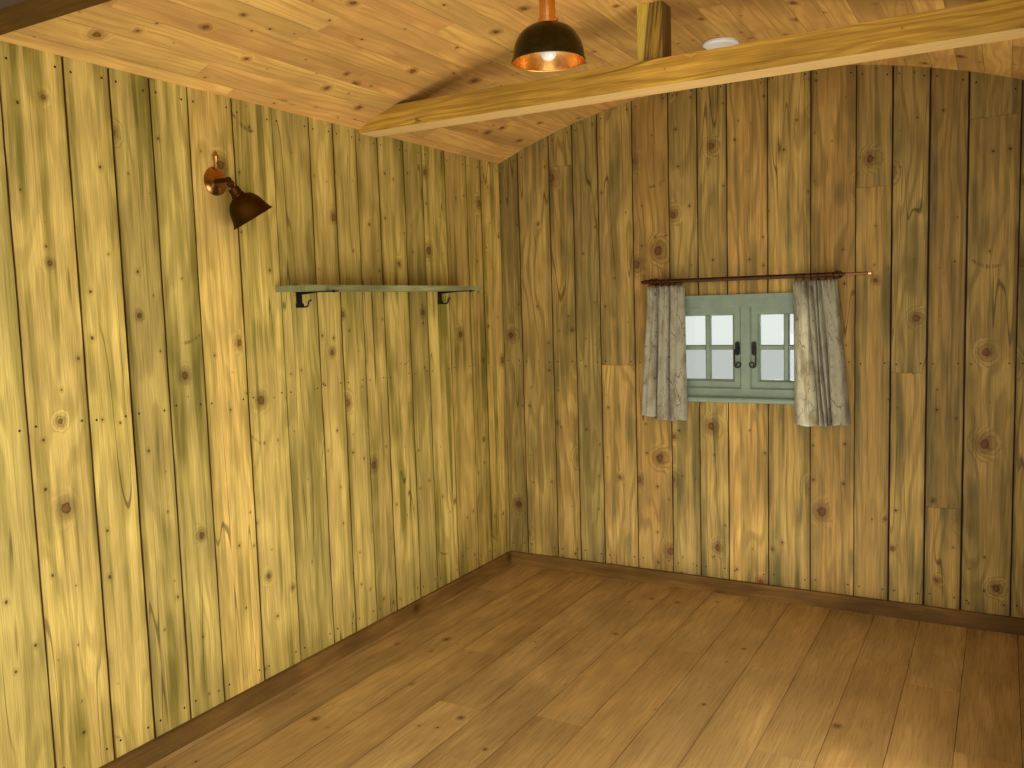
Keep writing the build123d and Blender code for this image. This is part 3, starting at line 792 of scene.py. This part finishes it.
cad_materials = (
    (bearer_wood, "floor_bearers floor_rims"),
    (joist_wood, "floor_joists roof_core"),
    (floor_wood, "floor_deck"),
    (wall_wood, "left_wall_lining right_wall_lining"),
    (end_wood, "end_wall_lining"),
    (frame_wood, "left_wall_core right_wall_core end_wall_core"),
    (cladding_wood, "left_wall_cladding right_wall_cladding end_wall_cladding"),
    (trim_wood, "corner_boards eaves_fascias bargeboard"),
    (ceiling_wood, "ceiling_lining"),
    (roof_paint, "roof_sheet"),
    (skirting_wood, "end_skirting"),
    (side_skirting_wood, "left_skirting right_skirting"),
    (beam_wood, "tie_beam_1"),
    (painted_shade_near_beam_wood, "tie_beam_2"),
    (post_wood, "king_post_1 king_post_2"),
    (sage_paint, "window_frame left_casement right_casement"),
    (sage_paint, "inner_sill outer_sill outer_architrave"),
    (window_glass, "left_glass right_glass"),
    (black_iron, "left_fastener right_fastener near_shelf_bracket far_shelf_bracket"),
    (pole_brown, "curtain_pole pole_brackets"),
    (cloth, "left_curtain right_curtain"),
    (shelf_wood, "shelf_board"),
    (aged_copper, "wall_lamp_rose"),
    (bronze, "wall_lamp_arm wall_lamp_shade"),
    (dark_copper, "wall_lamp_holder"),
    (opal, "wall_lamp_bulb pendant_bulb"),
    (green_shade, "pendant_shade"),
    (copper, "pendant_cap pendant_stem pendant_rose"),
    (white_plastic, "ceiling_alarm"),
)
for material, names in cad_materials:
    for name in names.split():
        nodes[name].data.materials.clear()
        nodes[name].data.materials.append(material)

# Boards of the long walls: (far edge from the window wall, warmth, brightness, gap at that edge)
LEFT_BOARDS = (
    (0.209, 0.70, 1.00, 0.006),
    (0.361, 0.90, 0.84, 0.002),
    (0.569, 0.85, 0.86, 0.002),
    (0.775, 0.30, 0.98, 0.003),
    (0.931, 0.25, 0.74, 0.004),
    (1.133, 0.35, 0.94, 0.005),
    (1.290, 0.45, 0.76, 0.002),
    (1.445, 0.30, 0.84, 0.005),
    (1.597, 0.35, 1.00, 0.004),
    (1.811, 0.15, 0.78, 0.0015),
    (2.020, 0.30, 1.04, 0.005),
    (2.228, 0.85, 1.08, 0.004),
    (2.388, 0.10, 0.88, 0.005),
    (2.544, 0.20, 0.78, 0.006),
    (2.705, 0.40, 1.05, 0.005),
    (2.910, 0.55, 1.02, 0.004),
    (3.100, 0.20, 0.92, 0.0),
)
rng = random.Random(7)

# The boards are this much thinner than the layer that they stand for
BOARD_BACK = 0.001


def spans(source, start=0.0):
    """Each board's two edges, less half of the gaps there, and then its other values."""
    before = 0.0
    for edge, warmth, bright, gap, *rest in source:
        yield start + before / 2, edge - gap / 2, warmth, bright, *rest
        start, before = edge, gap


def long_wall(name, side, source):
    """The boards of one long wall. Across runs into the room from the window wall."""
    face = side * HALF
    boards = []
    for index, (u0, u1, warmth, bright) in enumerate(spans(source)):
        outline = [(u0, FLOOR), (u1, FLOOR), (u1, EAVES), (u0, EAVES)]
        seed = index + 1.37 + (40 if side > 0 else 0)
        age = rng.uniform(0.2, 1.0)
        boards.append((outline, seed, (warmth, bright, age)))

    def place(u, v, back):
        return (face + side * back, WALL - u, v)

    node = name.replace("boards", "lining")
    board_object(name, boards, place, LINING - BOARD_BACK, wall_wood, (node,))


mirrored = []
for end, warmth, bright, gap in LEFT_BOARDS:
    mirrored.append((end, 1 - warmth * 0.8, 0.8 + 0.3 * rng.random(), gap))
long_wall("left_wall_boards", -1, LEFT_BOARDS)
long_wall("right_wall_boards", 1, mirrored)

# Boards of the window wall: (right edge from the left wall, warmth, brightness, gap, joint height)
END_BOARDS = (
    (0.127, 0.30, 0.78, 0.004, None),
    (0.329, 0.50, 0.98, 0.004, None),
    (0.477, 0.45, 0.92, 0.004, 2.335),
    (0.629, 0.25, 0.76, 0.004, None),
    (0.832, 0.50, 0.98, 0.004, 1.215),
    (1.036, 0.80, 0.86, 0.004, None),
    (1.191, 0.40, 0.90, 0.004, None),
    (1.345, 0.45, 0.92, 0.004, None),
    (1.550, 0.75, 1.06, 0.004, None),
    (1.757, 0.50, 1.02, 0.004, None),
    (1.964, 0.80, 0.86, 0.003, None),
    (2.123, 0.45, 0.92, 0.007, 2.07),
    (2.279, 0.40, 0.86, 0.007, 1.19),
    (2.436, 0.60, 0.80, 0.007, 0.555),
    (2.639, 0.35, 0.82, 0.005, 2.33),
    (2.850, 0.50, 0.90, 0.0, None),
)

# The gap where two lengths of one board meet
BUTT_JOINT = 0.0012


def cut_for_window(u0, u1, v0, height, hole):
    """Outlines of one board with the window's hole taken out."""
    left, right, foot, head = hole
    if u1 <= left or u0 >= right:
        return [[(u0, v0), (u1, v0), *top_edge(u0, u1, height)]]
    if u0 >= left and u1 <= right:
        below = [(u0, v0), (u1, v0), (u1, foot), (u0, foot)]
        above = [(u0, head), (u1, head), *top_edge(u0, u1, height)]
        return [below, above]
    if u0 < left:
        notch = [(u1, foot), (left, foot), (left, head), (u1, head)]
        return [[(u0, v0), (u1, v0), *notch, *top_edge(u0, u1, height)]]
    notch = [(u0, head), (right, head), (right, foot), (u0, foot)]
    return [[(u0, v0), (u1, v0), *top_edge(u0, u1, height), *notch]]


def end_wall(name, face, thick, source, hole, material, replaced, foot, half, top, push):
    """The boards of the window wall, inside or outside, round the window."""
    boards = []
    for index, (u0, u1, warmth, bright, joint) in enumerate(spans(source, -half)):
        age = rng.uniform(0.2, 1.0)
        seed = index + 80.61
        if joint is None:
            for outline in cut_for_window(u0, u1, foot, top, hole):
                boards.append((outline, seed, (warmth, bright, age)))
        else:
            z = FLOOR + joint
            z0, z1 = z - BUTT_JOINT / 2, z + BUTT_JOINT / 2
            lower = [(u0, foot), (u1, foot), (u1, z0), (u0, z0)]
            upper = [(u0, z1), (u1, z1), *top_edge(u0, u1, top)]
            boards.append((lower, seed, (min(1.0, warmth + 0.15), bright * 1.05, age)))
            boards.append((upper, seed + 20.3, (warmth, bright * 0.93, age)))

    def place(u, v, back):
        return (u, face + push * back, v)

    board_object(name, boards, place, thick, material, replaced)


hole_low, hole_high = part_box("window_frame")
sill_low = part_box("inner_sill")[0]
WINDOW_HOLE = (hole_low.x, hole_high.x, sill_low.z, hole_high.z)
inside_source = [(ROOM_LEFT + e, w, b, g, j) for e, w, b, g, j in END_BOARDS]
end_wall(
    "end_wall_boards",
    WALL,
    LINING - BOARD_BACK,
    inside_source,
    WINDOW_HOLE,
    end_wood,
    ("end_wall_lining",),
    FLOOR,
    HALF,
    ceiling_z,
    1,
)

# Nail heads in pairs, in two rows and a third under the ceiling
NAIL_ROWS = (0.13, 1.235)
SIDE_NAILS_BELOW_EAVES = 0.045
END_NAILS_BELOW_CEILING = 0.04
NAIL_INSET = 0.026
NAIL_RADIUS = 0.0042
NAIL_PROUD = 0.0006
NAIL_ROOT = 0.002
NAIL_SIDES = 8
NAIL_JITTER = 0.006
NAIL_CLEAR_OF_WINDOW = 0.01


def nails(name, spots, normal):
    """Small round nail heads, joined in one mesh. Each spot is a point on a board's face."""
    verts, faces = [], []
    ahead = Vector(normal)
    side = ahead.orthogonal().normalized()
    up = ahead.cross(side)
    for spot in spots:
        centre = Vector(spot)
        first = len(verts)
        for lift, size in ((-NAIL_ROOT, 1.0), (NAIL_PROUD * 0.5, 1.0), (NAIL_PROUD, 0.7)):
            for i in range(NAIL_SIDES):
                angle = 2 * math.pi * i / NAIL_SIDES
                radius = NAIL_RADIUS * size
                offset = side * (math.cos(angle) * radius) + up * (math.sin(angle) * radius)
                verts.append(tuple(centre + offset + ahead * lift))
        for low in (first, first + NAIL_SIDES):
            high = low + NAIL_SIDES
            for i in range(NAIL_SIDES):
                j = (i + 1) % NAIL_SIDES
                faces.append([low + i, low + j, high + j, high + i])
        faces.append([first + 2 * NAIL_SIDES + i for i in range(NAIL_SIDES)])
        faces.append([first + NAIL_SIDES - 1 - i for i in range(NAIL_SIDES)])
    new_object(name, verts, faces, black_iron)


def nail_places(source, start):
    """The across places of the nails of every board."""
    places = []
    low = start
    for board in source:
        high = board[0]
        places += [low + NAIL_INSET, high - NAIL_INSET]
        low = high
    return places


left_nails, right_nails, end_nails = [], [], []
for u in nail_places(LEFT_BOARDS, 0.0):
    for z in (*NAIL_ROWS, EAVES - FLOOR - SIDE_NAILS_BELOW_EAVES):
        height = FLOOR + z + rng.uniform(-NAIL_JITTER, NAIL_JITTER)
        left_nails.append((ROOM_LEFT, WALL - u, height))
        right_nails.append((ROOM_RIGHT, WALL - u, height))
for u in nail_places(END_BOARDS, 0.0):
    x = ROOM_LEFT + u
    for z in (*NAIL_ROWS, ceiling_z(x) - FLOOR - END_NAILS_BELOW_CEILING):
        height = FLOOR + z + rng.uniform(-NAIL_JITTER, NAIL_JITTER)
        left, right, foot, head = WINDOW_HOLE
        beside = min(x - left, right - x) > -NAIL_CLEAR_OF_WINDOW
        if not (beside and min(height - foot, head - height) > -NAIL_CLEAR_OF_WINDOW):
            end_nails.append((x, WALL, height))
nails("left_wall_nails", left_nails, (1, 0, 0))
nails("right_wall_nails", right_nails, (-1, 0, 0))
nails("end_wall_nails", end_nails, (0, -1, 0))


# Ceiling and floor boards, laid along the hut with staggered ends
LEAST_STRIP = 0.004
LEAST_END = 0.25
END_JOINT = 0.0008


def laid_boards(start, end, width, anchor, y0, y1, longest, joint, warm, bright):
    """Strips with butt joints: outlines in (across, along), seed and tone."""
    boards = []
    first = math.floor((start - anchor) / width)
    last = math.ceil((end - anchor) / width)
    for row in range(first, last):
        low = max(start, anchor + row * width + joint / 2)
        high = min(end, anchor + (row + 1) * width - joint / 2)
        if high - low < LEAST_STRIP:
            continue
        v = y1
        step = rng.uniform(0.25, 1.0) * longest
        while v > y0 + 1e-6:
            foot = max(y0, v - step)
            if foot - y0 < LEAST_END:
                foot = y0
            v0 = foot + END_JOINT / 2 if foot > y0 else foot
            v1 = v - END_JOINT / 2 if v < y1 else v
            tone = (rng.uniform(*warm), rng.uniform(*bright), rng.uniform(0.1, 1.0))
            outline = [(low, v0), (high, v0), (high, v1), (low, v1)]
            boards.append((outline, rng.uniform(0.0, 60.0), tone))
            v = foot
            step = rng.uniform(0.55, 1.0) * longest
    return boards


CEILING_COVER = 0.1085
CEILING_LONGEST = 1.9
CEILING_JOINT = 0.0012
CEILING_BACK = 0.0012
soffit_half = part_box("ceiling_lining")[1].x
soffit_s = RADIUS * math.asin(soffit_half / (RADIUS + CEILING_THICK))
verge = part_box("ceiling_lining")[1].y
ceiling_boards = laid_boards(
    -soffit_s,
    soffit_s,
    CEILING_COVER,
    0.0,
    NEAR,
    verge,
    CEILING_LONGEST,
    CEILING_JOINT,
    (0.0, 1.0),
    (0.84, 1.12),
)
board_object(
    "ceiling_boards",
    ceiling_boards,
    arch_point,
    CEILING_THICK - CEILING_BACK,
    ceiling_wood,
    ("ceiling_lining",),
)

FLOOR_COVER = 0.2015
FLOOR_LONGEST = 2.2
FLOOR_JOINT = 0.0010
FLOOR_BACK = 0.0005
FLOOR_LINE = ROOM_LEFT + 2.468
deck_low, deck_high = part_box("floor_deck")
floor_boards = laid_boards(
    deck_low.x,
    deck_high.x,
    FLOOR_COVER,
    FLOOR_LINE,
    deck_low.y,
    deck_high.y,
    FLOOR_LONGEST,
    FLOOR_JOINT,
    (0.1, 0.9),
    (0.9, 1.08),
)


def floor_place(u, v, back):
    return (u, v, FLOOR - back)


board_object(
    "floor_boards",
    floor_boards,
    floor_place,
    deck_high.z - deck_low.z - FLOOR_BACK,
    floor_wood,
    ("floor_deck",),
)

# Upright cladding boards outside
CLADDING_WIDTH = 0.152
CLADDING_GAP = 0.004


def cladding_source(start, end):
    """Even boards from start to end, with their tones."""
    count = round((end - start) / CLADDING_WIDTH)
    source = []
    for i in range(count):
        edge = start + (end - start) * (i + 1) / count
        gap = 0.0 if i == count - 1 else CLADDING_GAP
        source.append((edge, rng.uniform(0.1, 0.9), rng.uniform(0.82, 1.1), gap))
    return source


for side, name in ((-1, "left"), (1, "right")):
    low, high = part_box(f"{name}_wall_cladding")
    inner = high.x if side < 0 else low.x
    outer = low.x if side < 0 else high.x
    top = ceiling_z(outer)
    boards = []
    source = cladding_source(low.y, high.y)
    for index, (u0, u1, warmth, bright) in enumerate(spans(source, low.y)):
        outline = [(u0, low.z), (u1, low.z), (u1, top), (u0, top)]
        tone = (warmth, bright, rng.uniform(0.2, 1.0))
        boards.append((outline, index + 130.2 + side * 9, tone))

    def cladding_place(u, v, back, outer=outer, side=side):
        return (outer - side * back, u, v)

    board_object(
        f"{name}_cladding_boards",
        boards,
        cladding_place,
        high.x - low.x - BOARD_BACK,
        cladding_wood,
        (f"{name}_wall_cladding",),
    )

low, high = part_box("end_wall_cladding")
outside_source = [(*board, None) for board in cladding_source(low.x, high.x)]
end_wall(
    "end_cladding_boards",
    high.y,
    high.y - low.y - BOARD_BACK,
    outside_source,
    WINDOW_HOLE,
    cladding_wood,
    ("end_wall_cladding",),
    low.z,
    high.x,
    ceiling_z,
    -1,
)

# Corrugated roof sheet, its waves running over the bow from eaves to eaves
sheet_low, sheet_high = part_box("roof_sheet")
WAVE = 0.0762
WAVE_STEPS = 8
ARCH_STEPS = 36
SHEET = 0.0012
SHEET_CLEARANCE = 0.0003
SHEET_DEPTH = 0.018
sheet_outer = sheet_high.z - AXIS
crest = sheet_outer - SHEET / 2
trough = sheet_outer - SHEET_DEPTH + SHEET_CLEARANCE + SHEET / 2
waves = round((sheet_high.y - sheet_low.y) / WAVE)
pitch = (sheet_high.y - sheet_low.y) / waves
columns = waves * WAVE_STEPS
verts, faces = [], []
edge_angle = math.asin(sheet_high.x / sheet_outer)
for layer in (1, -1):
    for i in range(ARCH_STEPS + 1):
        angle = edge_angle * (2 * i / ARCH_STEPS - 1)
        for j in range(columns + 1):
            y = sheet_low.y + (sheet_high.y - sheet_low.y) * j / columns
            wave = 0.5 - 0.5 * math.cos(2 * math.pi * (y - sheet_low.y) / pitch)
            reach = trough + (crest - trough) * wave + layer * SHEET / 2
            verts.append((reach * math.sin(angle), y, AXIS + reach * math.cos(angle)))
row = columns + 1
layer_size = (ARCH_STEPS + 1) * row
for i in range(ARCH_STEPS):
    for j in range(columns):
        a = i * row + j
        faces.append([a, a + 1, a + row + 1, a + row])
        b = a + layer_size
        faces.append([b, b + row, b + row + 1, b + 1])
for i in range(ARCH_STEPS):
    for j in (0, columns):
        a = i * row + j
        faces.append([a, a + row, a + row + layer_size, a + layer_size])
for j in range(columns):
    for i in (0, ARCH_STEPS):
        a = i * row + j
        faces.append([a, a + 1, a + 1 + layer_size, a + layer_size])
roof = new_object("corrugated_sheet", verts, faces, roof_paint, smooth=True)
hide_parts("roof_sheet")


# Window bars on both faces of the glass
UPRIGHT_BAR = 0.027
LEVEL_BAR = 0.025
BAR_BACK = 0.006
BAR_BEVEL = 0.005


def bar_mesh(name, glass_name, casement_name):
    """A cross of glazing bars, inside and outside one sheet of glass."""
    g_low, g_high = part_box(glass_name)
    c_low, c_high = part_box(casement_name)
    middle = (g_low + g_high) / 2
    left, right = middle.x - UPRIGHT_BAR / 2, middle.x + UPRIGHT_BAR / 2
    foot, head = middle.z - LEVEL_BAR / 2, middle.z + LEVEL_BAR / 2
    verts, faces = [], []
    for near, face in ((c_low.y + BAR_BACK, g_low.y), (c_high.y - BAR_BACK, g_high.y)):
        for x0, x1, z0, z1 in (
            (left, right, g_low.z, g_high.z),
            (g_low.x, left, foot, head),
            (right, g_high.x, foot, head),
        ):
            first = len(verts)
            tall = z1 - z0 > x1 - x0
            for y, cut in ((face, 0.0), ((face + near) / 2, 0.0), (near, BAR_BEVEL)):
                cx, cz = (cut, 0.0) if tall else (0.0, cut)
                verts += [
                    (x0 + cx, y, z0 + cz),
                    (x1 - cx, y, z0 + cz),
                    (x1 - cx, y, z1 - cz),
                    (x0 + cx, y, z1 - cz),
                ]
            faces.append([first, first + 1, first + 2, first + 3])
            for ring in (0, 4):
                for i in range(4):
                    j = (i + 1) % 4
                    a = first + ring
                    faces.append([a + i, a + j, a + 4 + j, a + 4 + i])
            faces.append([first + 11, first + 10, first + 9, first + 8])
    new_object(name, verts, faces, sage_paint)


bar_mesh("left_window_bars", "left_glass", "left_casement")
bar_mesh("right_window_bars", "right_glass", "right_casement")


# Curtains gathered on their rings
CLOTH_ACROSS = 180
CLOTH_DOWN = 46
CLOTH_THICK = 0.0012
CLOTH_INSET = 0.002
WIDE_PLEAT = 0.2
HEM_WAVE = 0.003
SWAY = 0.004


def pleat_at(s, edges):
    """Which pleat a place across the cloth is in, and how far forward it stands there."""
    last = len(edges) - 2
    for index in range(last + 1):
        if s <= edges[index + 1] or index == last:
            width = edges[index + 1] - edges[index]
            p = (s - edges[index]) / width
            power = 6 if width > WIDE_PLEAT else 2.5
            return index, 1 - abs(2 * p - 1) ** power


def curtain(name, node, top_edges, hem_edges, lifts, phase):
    """A gathered sheet of cloth that fills its CAD body, wider and looser towards the hem.

    The edges are shares of the width where one pleat ends and the next begins, and the
    lifts say how much higher each pleat's hem hangs.
    """
    low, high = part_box(node)
    mesh = nodes[node].data
    top = [v.co.x for v in mesh.vertices if v.co.z > high.z - 0.001]
    foot = [v.co.x for v in mesh.vertices if v.co.z < low.z + 0.001]
    x0, x1, f0, f1 = min(top), max(top), min(foot), max(foot)
    middle = (low.y + high.y) / 2
    half = (high.y - low.y) / 2 - CLOTH_INSET
    height = high.z - low.z
    verts = []
    for i in range(CLOTH_DOWN + 1):
        t = i / CLOTH_DOWN
        left = x0 + (f0 - x0) * t
        right = x1 + (f1 - x1) * t
        edges = [a + (b - a) * t for a, b in zip(top_edges, hem_edges)]
        for j in range(CLOTH_ACROSS + 1):
            s = j / CLOTH_ACROSS
            index, forward = pleat_at(s, edges)
            y = middle + half * (0.55 + 0.35 * t) * (1 - 2 * forward)
            y += half * 0.10 * math.sin(2 * math.pi * (s * 6.3 + phase) + 3.0 * t)
            ruffle = half * 0.45 * math.exp(-t * 16)
            y += ruffle * math.sin(2 * math.pi * (s * 12.0 + phase))
            y = min(middle + half, max(middle - half, y))
            sway = SWAY * math.sin(math.pi * s)
            x = left + (right - left) * s
            x += sway * math.sin(2 * math.pi * (s * 5 + phase) + 4.0 * t)
            drop = height - lifts[index] * t
            hem = HEM_WAVE * (1 + math.sin(2 * math.pi * s * 2.5 + phase))
            verts.append((x, y, high.z - drop * t + hem * t))
    row = CLOTH_ACROSS + 1
    faces = []
    area = 0.0
    for i in range(CLOTH_DOWN):
        for j in range(CLOTH_ACROSS):
            face = [i * row + j, i * row + j + 1, (i + 1) * row + j + 1, (i + 1) * row + j]
            a, b, d, c = (Vector(verts[corner]) for corner in face)
            area += (b - a).cross(c - a).length / 2 + (b - d).cross(c - d).length / 2
            faces.append(face)
    centre = [Vector(verts[i * row + CLOTH_ACROSS // 2]) for i in range(CLOTH_DOWN + 1)]
    length = sum((b - a).length for a, b in zip(centre, centre[1:]))
    width = area / length
    flat = []
    for i in range(CLOTH_DOWN + 1):
        for j in range(CLOTH_ACROSS + 1):
            flat.append((width * j / CLOTH_ACROSS, length * i / CLOTH_DOWN, phase))
    obj = new_object(name, verts, faces, cloth, {"cloth": flat}, smooth=True)
    solid = obj.modifiers.new("thickness", "SOLIDIFY")
    solid.thickness = CLOTH_THICK
    solid.offset = 0.0
    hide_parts(node)
    print(name, "flat size", round(width, 3), "by", round(length, 3))


curtain(
    "left_curtain_cloth",
    "left_curtain",
    (0.0, 0.29, 0.60, 1.0),
    (0.0, 0.36, 0.64, 1.0),
    (0.018, 0.0, 0.0),
    0.15,
)
curtain(
    "right_curtain_cloth",
    "right_curtain",
    (0.0, 0.32, 0.44, 0.54, 0.64, 1.0),
    (0.0, 0.46, 0.55, 0.61, 0.68, 1.0),
    (0.0, 0.0, 0.0, 0.004, 0.008),
    0.62,
)

# Smooth faces on the turned and swept pieces
for name, obj in nodes.items():
    if name.startswith(("wall_lamp_", "pendant_")) or name == "curtain_pole":
        for polygon in obj.data.polygons:
            polygon.use_smooth = True

# Plain floor under the hut
floor_mesh = bpy.data.meshes.new("studio_floor")
SIZE = 30.0
floor_mesh.from_pydata(
    [(-SIZE, -SIZE, 0), (SIZE, -SIZE, 0), (SIZE, SIZE, 0), (-SIZE, SIZE, 0)],
    [],
    [[0, 1, 2, 3]],
)
floor_obj = bpy.data.objects.new("studio_floor", floor_mesh)
bpy.context.scene.collection.objects.link(floor_obj)
floor_mesh.materials.append(coated("studio_floor", (0.62, 0.62, 0.61), 0.8, vary=0.01, bump=0.0))

# Soft light
world = bpy.data.worlds.new("studio")
bpy.context.scene.world = world
world.use_nodes = True
world.node_tree.nodes["Background"].inputs["Color"].default_value = (1.0, 0.99, 0.96, 1.0)
world.node_tree.nodes["Background"].inputs["Strength"].default_value = 0.9


def area_light(name, place, target, size, power, colour):
    """A soft rectangular light that points at a target."""
    data = bpy.data.lights.new(name, "AREA")
    data.shape = "RECTANGLE"
    data.size, data.size_y = size
    data.energy = power
    data.color = colour
    obj = bpy.data.objects.new(name, data)
    bpy.context.scene.collection.objects.link(obj)
    obj.visible_camera = False
    obj.location = place
    obj.rotation_mode = "QUATERNION"
    obj.rotation_quaternion = (Vector(target) - Vector(place)).to_track_quat("-Z", "Y")


WARM = (1.0, 0.96, 0.86)
UP = FLOOR + 0.05
area_light("side_light", (1.24, -0.85, 0.95), (-1.4, -0.7, 1.5), (1.5, 1.2), 30, WARM)
area_light("bounce_light", (-0.1, 0.1, UP), (-0.1, 0.1, 2.0), (1.9, 2.4), 22, (1.0, 0.96, 0.88))
area_light("door_light", (1.6, -3.8, 2.3), (0.0, 0.6, 1.0), (2.2, 1.8), 58, WARM)
area_light("left_light", (-0.35, -2.7, 1.0), (-1.42, -0.9, 0.9), (0.9, 0.9), 8, (0.95, 0.98, 1.0))
area_light("window_light", (0.3, 4.2, 2.4), (0.0, 0.0, 1.3), (1.6, 1.2), 60, (0.97, 0.99, 1.0))
area_light("sky_light", (3.5, 5.0, 6.0), (0, 0, 1.2), (4.0, 4.0), 380, (1.0, 0.98, 0.95))
bpy.context.scene.view_settings.view_transform = "Standard"

# As many bounces as a room with one open end needs
bpy.context.scene.cycles.diffuse_bounces = 3
bpy.context.scene.cycles.glossy_bounces = 3

# Camera at the photograph's place
camera_data = bpy.data.cameras.new("camera")
camera_data.lens = 30.336
camera_data.sensor_width = 36.0
camera_data.clip_start = 0.05
camera_data.clip_end = 200.0
camera = bpy.data.objects.new("camera", camera_data)
bpy.context.scene.collection.objects.link(camera)
camera.matrix_world = Matrix(
    (
        (0.86929, -0.01908, 0.49393, 1.1626),
        (0.49337, 0.09443, -0.86468, -3.0276),
        (-0.03015, 0.99535, 0.0915, 1.8071),
        (0.0, 0.0, 0.0, 1.0),
    )
)
bpy.context.scene.camera = camera
